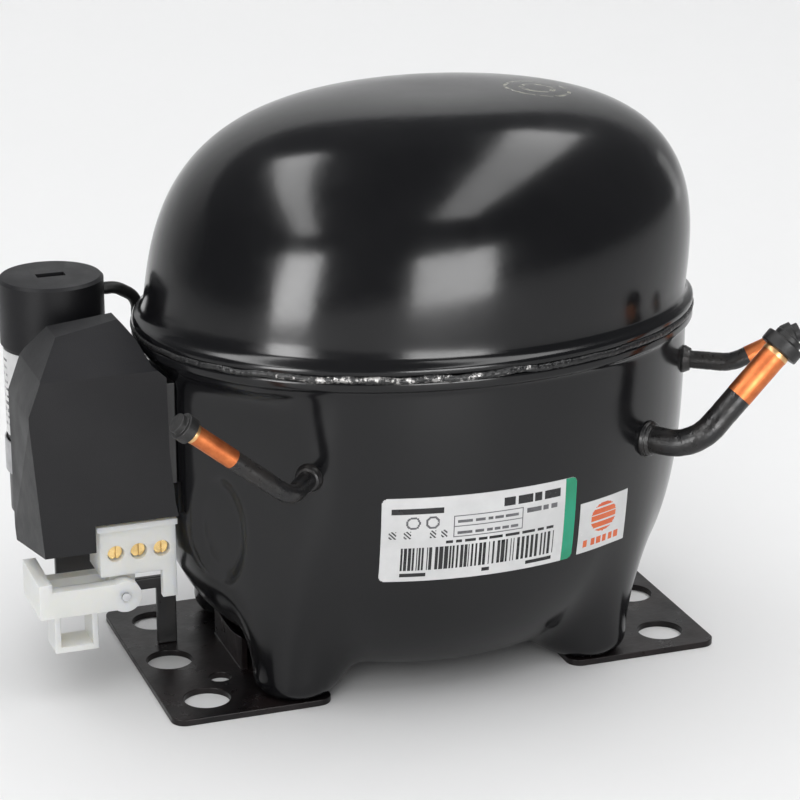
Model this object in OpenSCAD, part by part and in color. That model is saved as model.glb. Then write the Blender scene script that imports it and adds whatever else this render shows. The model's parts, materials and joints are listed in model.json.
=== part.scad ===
// Hermetic reciprocating compressor for a commercial refrigerator.
// Millimetres. +Z is up, +X points to the suction end, -Y to the label side.
// The origin is on the ground, at the middle of the four outer foot holes.

/* [Shell] */
// Half length of the lower housing at its rim
bowl_a = 97.5; // [97:0.5:98.5]
// Half width of the lower housing at its rim
bowl_b = 76.5; // [76:0.5:77.5]
// Half length of the upper housing at its rim
dome_a = 96.3; // [96:0.1:97]
// Half width of the upper housing at its rim
dome_b = 75.5; // [75:0.1:76]
// Overall height of the shell above the ground
shell_top = 200.2; // [199:0.2:202]
// Height of the lower housing's rim above the ground
rim_z = 122.4; // [122:0.1:123]
// Thickness of the pressed steel
wall = 3; // [2.8:0.1:3.2]
// How far the crown of the upper housing leans towards the suction end
dome_lean = 9; // [7:0.5:10]

/* [Feet] */
// Distance between the outer holes along the compressor
foot_pitch_x = 170; // [168:1:172]
// Distance between the outer holes across the compressor
foot_pitch_y = 70; // [69:1:71]
// Distance between the two middle holes
middle_pitch_x = 177.6; // [176:0.2:179]
// Diameter of each foot hole
foot_hole_d = 16; // [15:0.5:16.5]
// Thickness of the foot plates
plate_t = 2.3; // [2.1:0.1:2.5]

/* [Tubes] */
// Outer diameter of the suction tube
suction_d = 9.5; // [9:0.1:9.8]
// Outer diameter of the discharge tube
discharge_d = 6.5; // [6:0.1:6.8]
// Outer diameter of the process tube
process_d = 6.5; // [6:0.1:6.8]
// Wall of each tube
tube_wall = 0.8; // [0.7:0.05:0.9]

/* [Pump] */
// Bore of the cylinder
bore_d = 29; // [28.6:0.2:29.4]
// Stroke of the piston
stroke = 18.6; // [18:0.2:19]
// Distance between the eyes of the connecting rod
rod_length = 38; // [37.6:0.2:38.4]
// Diameter of the main journal
journal_d = 16; // [15.8:0.1:16.2]

/* [Motor] */
// Height of the stack of stator plates
stack_h = 42; // [40:1:42]
// Side of the square stator
stator_w = 108; // [106:1:108]
// Outer diameter of the rotor
rotor_d = 58; // [57.4:0.2:58.2]

/* [Capacitor] */
// Diameter of the capacitor's can
can_d = 34.6; // [34:0.2:34.8]
// Height of the capacitor's cap above the ground
cap_top = 136; // [135:0.5:137]

/* [Hidden] */
$fn = 48;

// Colours
black_paint = [0.06, 0.06, 0.07];
foot_brown = [0.13, 0.09, 0.09];
copper = [0.80, 0.45, 0.27];
satin_black = [0.10, 0.10, 0.11];
nylon = [0.92, 0.91, 0.86];
steel = [0.62, 0.63, 0.65];
iron = [0.35, 0.36, 0.38];
rubber = [0.07, 0.07, 0.08];
brass = [0.75, 0.62, 0.32];
paper = [0.95, 0.95, 0.94];

// Fits
running = 0.05;
gap = 0.3;
eps = 0.01;

// A bend is this much thinner than the straight parts, which reach a little into it
bend_thinning = 0.04;
lap = 0.1;

// Shell
shell_x = 2.8;
shell_y = -1.5;
belly_z = 2;
bowl_h = rim_z - belly_z;
bowl_power = 3.3;
dome_power = 3.1;
weld_h = 2;
dome_z = rim_z + weld_h;
dome_h = shell_top - dome_z;
lip = 2.3;
lip_h = 3;
hub_r = 8;

// Pressed flats at the electrical end
flat_x = -88.5;
ledge_z = 115;
corner_flat_turn = 219;
corner_flat_reach = 83;

// Toes of the lower housing that stand on the foot plates
toe_x = 54;
toe_y = 38;
toe_r = 14.5;
toe_round = 6;
toe_top = 60;

// Foot plates
foot_out_x = 100.5;
foot_in_x = 44;
foot_half_y = 50;
foot_corner = 5;
foot_tab_x = 65;
foot_tab_w = 34;

// Hermetic terminal
term_y = -4;
term_z = 92;
term_r = 11.5;
pin_circle = 6.6;
pin_r = 1.15;
glass_r = 2.95;

// Terminal cover
cover_x0 = -139;
cover_x1 = -88.9;
cover_y0 = -20;
cover_y1 = 12;
cover_z0 = 54.5;
cover_top = 130.5;
cover_t = 2;
notch_x = -118;
notch_z = 64;
cover_skirt = 4.5;
cover_draft = 4.1;
cover_turn = 6;

// Capacitor
can_x = -117.2;
can_y = 38;
can_z0 = 50;
can_z1 = 126;
cap_z0 = 112.5;
cap_t = 1;

// Shaft and cylinder
shaft_x = -4;
shaft_y = shell_y;
crank_r = stroke / 2;
cyl_z = 138;
wrist_x = shaft_x + crank_r + rod_length;
piston_r = bore_d / 2 - running;
piston_len = 24;
crown_x = wrist_x + 13;
skirt_x = crown_x - piston_len;
plate_x = crown_x + 0.6;
valve_plate_t = 3.6;
head_x = plate_x + valve_plate_t;
head_len = 15;
head_w = 48;

// Motor
stator_z = 50;
stator_top = stator_z + stack_h;
stator_bore = rotor_d / 2 + 0.5;
winding_out = 43;
winding_h = 11;
bolt_at = 44;
bolt_r = 2.5;

// Crankcase
case_z = 106;
case_top = 113;
web_z = case_top + 1.3;
web_h = 8.2;
web_r = 20;

// Suspension
spring_x = 43;
spring_y = 33;
spring_r = 7;
spring_wire = 1.8;
spring_z0 = 26;
spring_z1 = 42;
spring_turns = 4;

// Routes of the tubes: inside the shell, the corner, the open end
suction_route = [[61.5, -51.5, 86], [77.5, -73, 86.5], [107, -73.5, 117.5]];
suction_bend = 16;
suction_bare = 20;
discharge_route = [[-51.5, -55.5, 88], [-66.5, -75.5, 88], [-100, -79, 115.5]];
discharge_bend = 9;
discharge_bare = 18;
process_route = [[84, -30.5, 105], [105, -43.4, 104.5], [122.5, -48.5, 113]];
process_bend = 14;
process_bare = 14;
// Route of the lead from the capacitor's cap into the terminal cover
lead_route = [
    [-103, 39, 129], [-94, 39, 129], [-86, 41, 124], [-87, 39, 92], [-100, 26, 92], [-100, 8, 92]
];
lead_r = 2.2;
lead_bend = 7;

function unit(v) = v / norm(v);
function along(p, q, d) = p + unit(q - p) * d;
function reversed(v) = [for (i = [len(v) - 1 : -1 : 0]) v[i]];
function superellipse(a, h, power, steps = 12) =
    [for (i = [0 : steps]) let (u = 90 * i / steps)
        [a * pow(cos(u), 2 / power), h * pow(sin(u), 2 / power)]];

// A body of revolution about +Z, squeezed across to an oval
module oval(a, b, points) {
    scale([1, b / a, 1])
        for (i = [0 : 7]) rotate(45 * i) rotate_extrude(angle = 45, $fn = 96) polygon(points);
}

module oval_cylinder(a, b, h) {
    scale([1, b / a, 1]) cylinder(r = a, h = h, $fn = 96);
}

// A straight round bar between two points
module bar(p, q, r) {
    d = q - p;
    translate(p)
        rotate([0, acos(d[2] / norm(d)), atan2(d[1], d[0])])
            cylinder(r = r, h = norm(d));
}

// The rounded corner of a bent bar, at q on the way from p to s
module elbow(p, q, s, bend, r) {
    u = unit(q - p);
    v = unit(s - q);
    turn = acos(u * v);
    side = unit(v - (u * v) * u);
    up = cross(-side, u);
    c = q - u * bend * tan(turn / 2) + side * bend;
    multmatrix([
        [-side[0], u[0], up[0], c[0]],
        [-side[1], u[1], up[1], c[1]],
        [-side[2], u[2], up[2], c[2]],
        [0, 0, 0, 1]
    ]) rotate_extrude(angle = turn) translate([bend, 0]) circle(r = r);
}

function setback(p, q, s, bend) = bend * tan(acos(unit(q - p) * unit(s - q)) / 2);

// A round bar along a list of points, with a rounded corner at each inner one
module bent_bar(route, bend, r) {
    last = len(route) - 1;
    for (i = [0 : last - 1]) {
        trim0 = i == 0 ? 0 : setback(route[i - 1], route[i], route[i + 1], bend) - lap;
        trim1 = i == last - 1 ? 0 : setback(route[i], route[i + 1], route[i + 2], bend) - lap;
        bar(along(route[i], route[i + 1], trim0), along(route[i + 1], route[i], trim1), r);
    }
    for (i = [1 : last - 1])
        elbow(route[i - 1], route[i], route[i + 1], bend, r - bend_thinning);
}

// Turns a child's +Z to point along +X from a place
module face_x(x, y, z) {
    translate([x, y, z]) rotate([0, 90, 0]) children();
}

module rounded_plate(size, r, h) {
    linear_extrude(h) union() {
        square([size[0] - 2 * r, size[1]], center = true);
        square([size[0], size[1] - 2 * r], center = true);
        for (sx = [-1, 1], sy = [-1, 1])
            translate([sx * (size[0] / 2 - r), sy * (size[1] / 2 - r)]) circle(r = r);
    }
}

// ---------- Shell ----------

// The lower housing's bowl as a solid, grown by off on every side
module bowl(off = 0) {
    a = bowl_a + off;
    translate([shell_x, shell_y, rim_z])
        mirror([0, 0, 1]) scale([1, (bowl_b + off) / a, 1])
            rotate_extrude($fn = 96)
                polygon(concat(superellipse(a, bowl_h + off, bowl_power), [[0, 0]]));
}

// Slides each level of the dome towards +X in proportion to its height above the rim
module lean(rate) {
    translate([shell_x, shell_y, dome_z])
        multmatrix([[1, 0, rate, 0], [0, 1, 0, 0], [0, 0, 1, 0], [0, 0, 0, 1]]) children();
}

// The upper housing's dome as a solid, grown by off on every side
module dome(off = 0) {
    a = dome_a + off;
    lean(dome_lean / dome_h) scale([1, (dome_b + off) / a, 1])
        rotate_extrude($fn = 96)
            polygon(concat(superellipse(a, dome_h + off, dome_power), [[0, 0]]));
}

// The space outside the pressed flats; inset moves the flats inwards
module flats(inset = 0) {
    translate([flat_x - 40 + inset, -60, -10]) cube([40, 120, ledge_z + 10 + inset]);
    translate([shell_x, shell_y, -10])
        rotate(corner_flat_turn)
            translate([corner_flat_reach - inset, -60, 0])
                cube([40, 120, ledge_z + 10 + inset]);
}

module toe(off = 0) {
    r = toe_r + off;
    rotate_extrude()
        polygon(concat(
            [[0, plate_t - off]],
            [for (i = [0 : 6]) let (u = 15 * i)
                [r - toe_round + toe_round * sin(u), plate_t - off + toe_round * (1 - cos(u))]],
            [[r + 1, toe_top], [0, toe_top]]
        ));
}

module toes(off = 0) {
    for (sx = [-1, 1], sy = [-1, 1]) translate([sx * toe_x, sy * toe_y, 0]) toe(off);
}

module tube_holes() {
    bar(suction_route[0], suction_route[1], suction_d / 2 + 0.1);
    bar(discharge_route[0], discharge_route[1], discharge_d / 2 + 0.1);
    bar(process_route[0], process_route[1], process_d / 2 + 0.1);
}

// A pressed half shell standing on z = 0 with its rim turned out, and its middle closed by a disc
module half_shell(a, b, h, power) {
    rim = bowl_a + lip;
    oval(a, b, concat(
        [[rim - 0.3, 0], [rim, 0.4], [rim, lip_h - 1], [a + 0.6, lip_h + 1.4]],
        [for (p = superellipse(a, h, power)) if (p[1] > lip_h + 2 && p[0] > hub_r) p],
        [[hub_r, h], [hub_r, h - wall]],
        [for (p = reversed(superellipse(a - wall, h - wall, power))) if (p[0] > hub_r && p[1] > 0) p],
        [[a - wall, 0.05]]
    ));
    translate([0, 0, h - wall + 0.15])
        oval_cylinder(hub_r + 1, (hub_r + 1) * b / a, wall - 0.3);
}

module lower_housing() {
    color(black_paint) difference() {
        union() {
            difference() {
                translate([shell_x, shell_y, rim_z]) mirror([0, 0, 1])
                    half_shell(bowl_a, bowl_b, bowl_h, bowl_power);
                flats();
            }
            intersection() {
                bowl();
                difference() {
                    flats(wall);
                    flats();
                }
            }
            difference() {
                toes();
                bowl(-wall / 2);
            }
        }
        toes(-wall);
        tube_holes();
        face_x(flat_x - 5, term_y, term_z) cylinder(r = term_r + 0.1, h = 12);
    }
}

module upper_housing() {
    color(black_paint) lean(dome_lean / dome_h) half_shell(dome_a, dome_b, dome_h, dome_power);
}

module weld_seam() {
    out = bowl_a + lip;
    color(steel) translate([shell_x, shell_y, rim_z])
        oval(out, bowl_b + lip, [
            [bowl_a - 2, 0.05], [out - 0.3, 0], [out + 0.5, 0.5], [out + 0.7, weld_h / 2],
            [out + 0.5, weld_h - 0.5], [out - 0.3, weld_h], [bowl_a - 2, weld_h - 0.05]
        ]);
}

// The foot under the -X end; the other foot is the same stamping turned round
module foot() {
    len_x = foot_out_x - foot_in_x;
    difference() {
        union() {
            translate([-(foot_out_x + foot_in_x) / 2, 0, 0])
                rounded_plate([len_x, 2 * foot_half_y], foot_corner, plate_t);
            translate([-foot_tab_x - plate_t, -foot_tab_w / 2, 0]) cube([plate_t, foot_tab_w, 30]);
        }
        bowl(gap);
        rotate(180) bowl(gap);
        for (sy = [-1, 1])
            translate([-foot_pitch_x / 2, sy * foot_pitch_y / 2, -1])
                cylinder(r = foot_hole_d / 2, h = plate_t + 2);
        translate([-middle_pitch_x / 2, 0, -1]) cylinder(r = foot_hole_d / 2, h = plate_t + 2);
        translate([-76, -20, -1]) cylinder(r = 3.8, h = plate_t + 2);
    }
}

module left_foot() {
    color(foot_brown) foot();
}

module right_foot() {
    color(foot_brown) rotate(180) foot();
}

// ---------- Tubes ----------

module pipe_body(route, bend, d, bare) {
    cut = along(route[2], route[1], bare);
    difference() {
        bent_bar([route[0], route[1], cut], bend, d / 2);
        bent_bar([along(route[0], route[1], -1), route[1], along(cut, route[1], -1)],
            bend, d / 2 - tube_wall);
    }
}

module pipe_tail(route, d, bare) {
    cut = along(route[2], route[1], bare);
    difference() {
        bar(cut, route[2], d / 2);
        bar(along(cut, route[1], 1), along(route[2], cut, -1), d / 2 - tube_wall);
    }
}

// A moulded stopper: a stem in the tube, a wide head over its end and a narrower crown
module stopper(route, d, head_r, head_h) {
    end = route[2];
    r = d / 2 - tube_wall;
    tip = along(end, route[1], 8);
    bar(tip, along(end, route[1], -1), r - running);
    bar(along(end, route[1], -0.2), along(end, route[1], -head_h), head_r);
    bar(along(end, route[1], -head_h + eps), along(end, route[1], -head_h - 2.2), head_r * 0.72);
}

module suction_tube() {
    color(black_paint) pipe_body(suction_route, suction_bend, suction_d, suction_bare);
}

module suction_tail() {
    color(copper) pipe_tail(suction_route, suction_d, suction_bare);
}

module suction_plug() {
    color(rubber) stopper(suction_route, suction_d, 7.2, 4.6);
}

module discharge_tube() {
    color(black_paint) pipe_body(discharge_route, discharge_bend, discharge_d, discharge_bare);
}

module discharge_tail() {
    color(copper) pipe_tail(discharge_route, discharge_d, discharge_bare);
}

module discharge_plug() {
    color(rubber) stopper(discharge_route, discharge_d, 4.6, 4);
}

module process_tube() {
    color(black_paint) pipe_body(process_route, process_bend, process_d, process_bare);
}

module process_tail() {
    color(copper) pipe_tail(process_route, process_d, process_bare);
}

module process_plug() {
    color(rubber) stopper(process_route, process_d, 4.6, 4);
}

// ---------- Electrical end ----------

// Repeats a child at the three pins of the hermetic terminal
module at_pins() {
    for (i = [0 : 2])
        translate([0, term_y + pin_circle * cos(90 + 120 * i), term_z + pin_circle * sin(90 + 120 * i)])
            children();
}

module terminal_body() {
    inner_x = flat_x + wall;
    color(steel) difference() {
        union() {
            face_x(flat_x - 1, term_y, term_z) cylinder(r = term_r, h = wall + 1.5);
            face_x(inner_x, term_y, term_z) cylinder(r = term_r + 2.4, h = 2);
        }
        at_pins() face_x(flat_x - 2, 0, 0) cylinder(r = glass_r + running, h = wall + 6);
    }
}

module terminal_glass() {
    color([0.35, 0.55, 0.45]) at_pins() difference() {
        face_x(flat_x - 1.6, 0, 0) cylinder(r = glass_r, h = wall + 4);
        face_x(flat_x - 2, 0, 0) cylinder(r = pin_r + running, h = wall + 6);
    }
}

module terminal_pins() {
    color(steel) at_pins() face_x(-104, 0, 0) cylinder(r = pin_r, h = 28);
}

// The welded frame around the terminal that carries the cover
module terminal_fence() {
    w = 27.5;
    h = 36;
    color(black_paint) difference() {
        translate([-97, cover_y0 + cover_t + 0.5, term_z - 17])
            cube([97 + flat_x, w - 0.5, h]);
        translate([-98, cover_y0 + cover_t + 2, term_z - 15.5])
            cube([98 + flat_x + 1, w - 3.5, h - 3]);
    }
}

module start_relay() {
    color(satin_black) difference() {
        union() {
            translate([-116, term_y - 13, term_z - 14.5]) cube([17, 22, 30]);
            translate([-119, term_y - 9, term_z - 9]) cube([3.5, 14, 12]);
        }
        at_pins() face_x(-110, 0, 0) cylinder(r = pin_r + 0.15, h = 14);
    }
}

module overload_protector() {
    color(satin_black) union() {
        translate([-104, term_y + 1, 65]) cylinder(r = 10.5, h = 9.9);
        translate([-104, term_y + 1, 74.9 - eps]) cylinder(r = 6.5, h = 2.2);
        translate([-106, term_y - 4, 63.3]) cube([4, 10, 1.7 + eps]);
    }
}

// The cover without its hollow, from its front outline, its end outline and the
// draft of its outer corner; inset shrinks them by the wall
module cover_solid(inset = 0) {
    x0 = cover_x0 + inset;
    x1 = cover_x1;
    y0 = cover_y0 + inset;
    y1 = cover_y1 - inset;
    top = cover_top - inset;
    bottom = cover_z0 - inset;
    intersection() {
        translate([0, 60, 0]) rotate([90, 0, 0])
            linear_extrude(120) polygon([
                [x0, 40], [x0, 105], [-134.5 + 0.8 * inset, 117 - 0.4 * inset],
                [-126 + 0.5 * inset, 127.5 - inset], [-104 - 0.3 * inset, top],
                [-99.5 - 0.3 * inset, 125 - 0.6 * inset], [-96.5 - 0.3 * inset, ledge_z + 3],
                [x1, ledge_z - 4], [x1, 40]
            ]);
        translate([-200, 0, 0]) rotate([90, 0, 90])
            linear_extrude(200) polygon([
                [y0, bottom], [y0, 116.5 - 0.4 * inset], [-3, top], [5, top],
                [y1, 119 - 0.4 * inset], [y1, bottom - cover_skirt]
            ]);
        translate([x0, y0, 102]) rotate([0, -cover_draft, cover_turn])
            translate([0, -60, -60]) cube([80, 120, 120]);
    }
}

module terminal_cover() {
    color(satin_black) difference() {
        cover_solid();
        cover_solid(cover_t);
        // room for the terminal board
        translate([notch_x, cover_y0 - 1, cover_z0 - 12]) cube([40, 40, notch_z - cover_z0 + 12]);
        bowl(gap);
        dome(gap);
        translate([shell_x, shell_y, rim_z - lip_h - 2.4])
            oval_cylinder(bowl_a + lip + 1, bowl_b + lip + 1, 11);
        // hole for the capacitor's lead
        translate([-100, cover_y1 - cover_t - 1, 92]) rotate([-90, 0, 0]) cylinder(r = 2.6, h = 6);
    }
}

module terminal_board() {
    x0 = -116.5;
    y0 = -18.5;
    color(nylon) difference() {
        union() {
            translate([x0, y0, 44.5]) cube([26.5, 16, 16.5 + eps]);
            translate([x0 - 1, y0 - 1, 61]) cube([28, 18, 2]);
            // hook under the frame, tongue at the lower right, lug for the clamp's pin
            translate([-92.5, -14.5, 63 - eps]) cube([3, 8, 12 + eps]);
            translate([-95, y0, 34.5]) cube([5, 3, 10 + eps]);
            translate([-113, -15.6, 33.5]) cube([9, 5, 11 + eps]);
        }
        for (i = [0 : 2])
            translate([-111 + 8 * i, y0 - 1, 52.5]) rotate([-90, 0, 0]) cylinder(r = 2.9, h = 5.1);
        translate([-108.8, -20, 37.8]) rotate([-90, 0, 0]) cylinder(r = 1.5, h = 12);
        translate([-113, y0 + 6, 47]) cube([19, 12, 11]);
    }
}

module board_screws() {
    color(brass) for (i = [0 : 2])
        translate([-111 + 8 * i, -14.4, 52.5]) rotate([90, 0, 0]) difference() {
            cylinder(r = 2.5, h = 2);
            translate([-0.4, -3, 1.2]) cube([0.8, 6, 2]);
        }
}

module clamp_pin() {
    color(steel) translate([-108.8, -22.4, 37.8]) rotate([-90, 0, 0]) cylinder(r = 1.45, h = 18.5);
}

// Hinged fork that grips the supply cord: two arms, a cross bar and a hanging loop
module cord_clamp() {
    color(nylon) difference() {
        union() {
            for (y = [-21.6, -9.9]) {
                translate([-108.8, y, 37.8]) rotate([-90, 0, 0]) cylinder(r = 5.6, h = 5);
                translate([-136, y, 33.2]) cube([27.2, 5, 9.4]);
            }
            translate([-138.5, -21.6, 33.2]) cube([4.5, 26, 12.4]);
            // hanging loop
            translate([-133.4, -20, 21]) cube([2, 12, 13]);
            translate([-120.4, -20, 21]) cube([2, 12, 13]);
            translate([-133.4, -20, 19.6]) cube([15, 12, 2]);
        }
        translate([-108.8, -30, 37.8]) rotate([-90, 0, 0]) cylinder(r = 1.5, h = 40);
        translate([-134.1, -16.6, 32]) cube([40, 6.7, 20]);
    }
}

// ---------- Capacitor ----------

module capacitor_bracket() {
    y = 14;
    t = 2.5;
    color(black_paint) union() {
        translate([-89, y, plate_t]) cube([7, t, 26]);
        translate([-125, y, 24]) cube([43, t, 4.3]);
        translate([-125, y, 24]) cube([16, t, 62]);
    }
}

module capacitor_can() {
    color([0.16, 0.16, 0.17]) translate([can_x, can_y, 0]) union() {
        translate([0, 0, can_z0 + 1]) cylinder(r = can_d / 2, h = can_z1 - can_z0 - 1);
        translate([0, 0, can_z0]) cylinder(r = can_d / 2 - 1.2, h = 1 + eps);
    }
}

module capacitor_cap() {
    r = can_d / 2 + cap_t;
    color(satin_black) translate([can_x, can_y, 0]) difference() {
        union() {
            translate([0, 0, cap_z0]) cylinder(r = r, h = cap_top - cap_z0 - 1);
            translate([0, 0, cap_top - 1 - eps]) cylinder(r1 = r, r2 = r - 1, h = 1 + eps);
        }
        translate([0, 0, cap_z0 - 1]) cylinder(r = can_d / 2 + running, h = cap_top - cap_z0 - 1);
        translate([-5, -2.2, cap_top - 1.4]) cube([10, 4.4, 3]);
        translate([r - 3, 1, 129]) rotate([0, 90, 0]) cylinder(r = lead_r + 0.1, h = 8);
    }
}

module capacitor_tabs() {
    color(brass) for (s = [-1, 1])
        translate([can_x + s * 6 - 3.15, can_y - 0.4, can_z1]) cube([6.3, 0.8, 6.5]);
}

module capacitor_clip() {
    color(steel) difference() {
        union() {
            translate([can_x, can_y, 66]) cylinder(r = can_d / 2 + 1.1, h = 12);
            translate([can_x - 7, 16.5, 66]) cube([14, 5, 12]);
        }
        translate([can_x, can_y, 65]) cylinder(r = can_d / 2 + 0.35, h = 14);
    }
}

module capacitor_label() {
    color(paper) translate([can_x, can_y, 80]) difference() {
        cylinder(r = can_d / 2 + 0.25, h = 31);
        translate([0, 0, -1]) cylinder(r = can_d / 2 + 0.02, h = 33);
    }
}

module capacitor_lead() {
    color(rubber) bent_bar(lead_route, lead_bend, lead_r);
}

// ---------- Labels ----------

// A patch of the lower housing's front between two heights and two lengths
module patch(x0, x1, z0, z1) {
    intersection() {
        difference() {
            bowl(0.35);
            bowl(0.05);
        }
        translate([x0, -100, z0]) cube([x1 - x0, 60, z1 - z0]);
    }
}

module rating_label() {
    color(paper) patch(-34.5, 34.7, 50.5, 82);
}

module refrigerant_label() {
    color(paper) patch(36.3, 58, 51, 71);
}

// ---------- Suspension ----------

module at_springs() {
    for (sx = [-1, 1], sy = [-1, 1])
        translate([shaft_x + sx * spring_x, shaft_y + sy * spring_y, 0]) children();
}

module spring_seats() {
    color(steel) intersection() {
        at_springs() union() {
            translate([0, 0, 5]) cylinder(r = 5, h = spring_z0 - 5 + 4);
            translate([0, 0, 5]) cylinder(r = spring_r + 1.4, h = spring_z0 - 5);
        }
        bowl(-wall - 0.05);
    }
}

// A closed coil of wire standing on z = 0
module coil(r, wire, h, turns) {
    sides = 6;
    per_turn = 12;
    rings = turns * per_turn;
    rise = h - wire;
    points = [for (i = [0 : rings], k = [0 : sides - 1])
        let (a = 360 * i / per_turn, b = 360 * k / sides, rr = r + wire / 2 * cos(b))
            [rr * cos(a), rr * sin(a), wire / 2 + rise * i / rings + wire / 2 * sin(b)]];
    skins = [for (i = [0 : rings - 1], k = [0 : sides - 1])
        let (k1 = (k + 1) % sides, p = i * sides, q = p + sides)
            [p + k, q + k, q + k1, p + k1]];
    start = [for (k = [0 : sides - 1]) k];
    end = [for (k = [sides - 1 : -1 : 0]) rings * sides + k];
    polyhedron(points, concat(skins, [start, end]));
}

module suspension_springs() {
    color(steel) at_springs()
        translate([0, 0, spring_z0 + 0.05])
            coil(spring_r, spring_wire, spring_z1 - spring_z0 - 0.1, spring_turns);
}

module spring_pegs() {
    color(nylon) at_springs() union() {
        translate([0, 0, spring_z1 - 5]) cylinder(r = 4.8, h = 5 + eps);
        translate([0, 0, spring_z1]) cylinder(r = spring_r + 1.4, h = 2);
        translate([0, 0, spring_z1 + 2 - eps]) cylinder(r = 5, h = stator_z - spring_z1 - 2 + eps - 0.02);
    }
}

// ---------- Motor ----------

module at_shaft(z = 0) {
    translate([shaft_x, shaft_y, z]) children();
}

module at_bolts() {
    for (sx = [-1, 1], sy = [-1, 1]) at_shaft() translate([sx * bolt_at, sy * bolt_at, 0]) children();
}

module stator_core() {
    half = stator_w / 2;
    cut = half - 15;
    slots = 24;
    color(iron) difference() {
        at_shaft(stator_z) linear_extrude(stack_h) difference() {
            polygon([
                [half, cut], [cut, half], [-cut, half], [-half, cut],
                [-half, -cut], [-cut, -half], [cut, -half], [half, -cut]
            ]);
            circle(r = stator_bore, $fn = 96);
        }
        for (i = [0 : slots - 1])
            at_shaft(stator_z - 1) rotate(360 * i / slots)
                translate([stator_bore + 1.2, -1.7, 0]) cube([10.5, 3.4, stack_h + 2]);
        at_bolts() translate([0, 0, stator_z - 1]) cylinder(r = bolt_r + 0.2, h = stack_h + 2);
    }
}

module winding(z) {
    inner = stator_bore + 2;
    color(copper) at_shaft(z) rotate_extrude($fn = 96) union() {
        translate([inner + 2, 0]) square([winding_out - inner - 4, winding_h]);
        translate([inner, 2]) square([winding_out - inner, winding_h - 4]);
        for (x = [inner + 2, winding_out - 2], y = [2, winding_h - 2])
            translate([x, y]) circle(r = 2, $fn = 24);
    }
}

module upper_winding() {
    winding(stator_top);
}

module lower_winding() {
    winding(stator_z - winding_h);
}

module stator_bolts() {
    color(steel) at_bolts() union() {
        translate([0, 0, stator_z - 4]) cylinder(r = 4.6, h = 4, $fn = 6);
        translate([0, 0, stator_z - eps]) cylinder(r = bolt_r, h = case_top - stator_z - 1);
    }
}

// Plug on the terminal's inner pins, with its leads to the upper winding
module motor_plug() {
    color(nylon) union() {
        difference() {
            translate([-81, term_y - 10, term_z - 8]) cube([9, 20, 20]);
            at_pins() face_x(-82, 0, 0) cylinder(r = pin_r + 0.1, h = 7);
        }
        for (i = [0 : 2])
            bar([-72.2, -9 + 6 * i, 98], [-48.4, -7 + 5 * i, 98.5], 1);
    }
}

// ---------- Crankcase and rotating parts ----------

module crankcase() {
    block_w = 43;
    block_x = shaft_x + 29.5;
    color(iron) difference() {
        union() {
            // bed over the motor, with its four legs
            at_shaft(case_z) rounded_plate([102, 102], 9, case_top - case_z);
            for (sx = [-1, 1], sy = [-1, 1])
                at_shaft(stator_top) translate([sx * bolt_at, sy * bolt_at, 0])
                    cylinder(r = 7, h = case_z - stator_top + eps);
            // hub of the main bearing
            at_shaft(94) cylinder(r = 14, h = case_z - 94 + eps);
            // cylinder block
            translate([block_x, shaft_y - block_w / 2, case_top - eps])
                cube([plate_x - block_x, block_w, cyl_z - case_top]);
            face_x(block_x, shaft_y, cyl_z) cylinder(r = 22, h = plate_x - block_x);
            for (sy = [-1, 1], sz = [-1, 1])
                face_x(plate_x - 16, shaft_y + sy * 18, cyl_z + sz * 18) cylinder(r = 5, h = 16);
        }
        face_x(block_x - 1, shaft_y, cyl_z) cylinder(r = bore_d / 2, h = 60, $fn = 96);
        at_shaft(90) cylinder(r = journal_d / 2 + running, h = 30, $fn = 64);
        at_bolts() translate([0, 0, stator_top - 1]) cylinder(r = bolt_r + 0.2, h = 40);
        for (sy = [-1, 1], sz = [-1, 1])
            face_x(plate_x - 13, shaft_y + sy * 18, cyl_z + sz * 18) cylinder(r = 2.2, h = 20);
        // windows that lighten the bed
        for (sy = [-1, 1])
            at_shaft(case_z - 1) translate([-20, sy * 33 - 8, 0]) cube([30, 16, case_top - case_z + 2]);
    }
}

module thrust_washer() {
    color(steel) at_shaft(case_top) difference() {
        cylinder(r = 13, h = web_z - case_top - running);
        translate([0, 0, -1]) cylinder(r = journal_d / 2 + gap, h = 4);
    }
}

module crankshaft() {
    color(iron) at_shaft(0) union() {
        translate([0, 0, 30]) cylinder(r = journal_d / 2, h = web_z - 30 + eps, $fn = 64);
        translate([0, 0, web_z]) cylinder(r = web_r, h = web_h, $fn = 64);
    }
}

// Half ring riveted round the web, opposite the crank pin
module counterweight() {
    color(steel) at_shaft(web_z) intersection() {
        difference() {
            cylinder(r = web_r + 7, h = web_h - 1, $fn = 64);
            translate([0, 0, -1]) cylinder(r = web_r + 0.02, h = web_h + 2, $fn = 64);
        }
        translate([-40, -40, -1]) cube([36, 80, 20]);
    }
}

module rotor_core() {
    color(iron) at_shaft(stator_z) difference() {
        cylinder(r = rotor_d / 2, h = stack_h, $fn = 96);
        translate([0, 0, -1]) cylinder(r = journal_d / 2 + 0.01, h = stack_h + 2, $fn = 64);
        translate([0, 0, stack_h - 6]) cylinder(r = 16, h = 7);
    }
}

module rotor_cage() {
    color([0.75, 0.76, 0.78]) for (z = [stator_z - 6, stator_top])
        at_shaft(z) difference() {
            cylinder(r = rotor_d / 2 - 1, h = 6, $fn = 96);
            translate([0, 0, -1]) cylinder(r = 19, h = 8);
        }
}

module oil_pickup() {
    color(steel) at_shaft(0) difference() {
        translate([0, 0, 11]) cylinder(r1 = 3.2, r2 = 7.2, h = 19 - eps);
        translate([0, 0, 10]) cylinder(r1 = 1.4, r2 = 6.2, h = 20);
    }
}

// ---------- Piston and rod ----------

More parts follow.
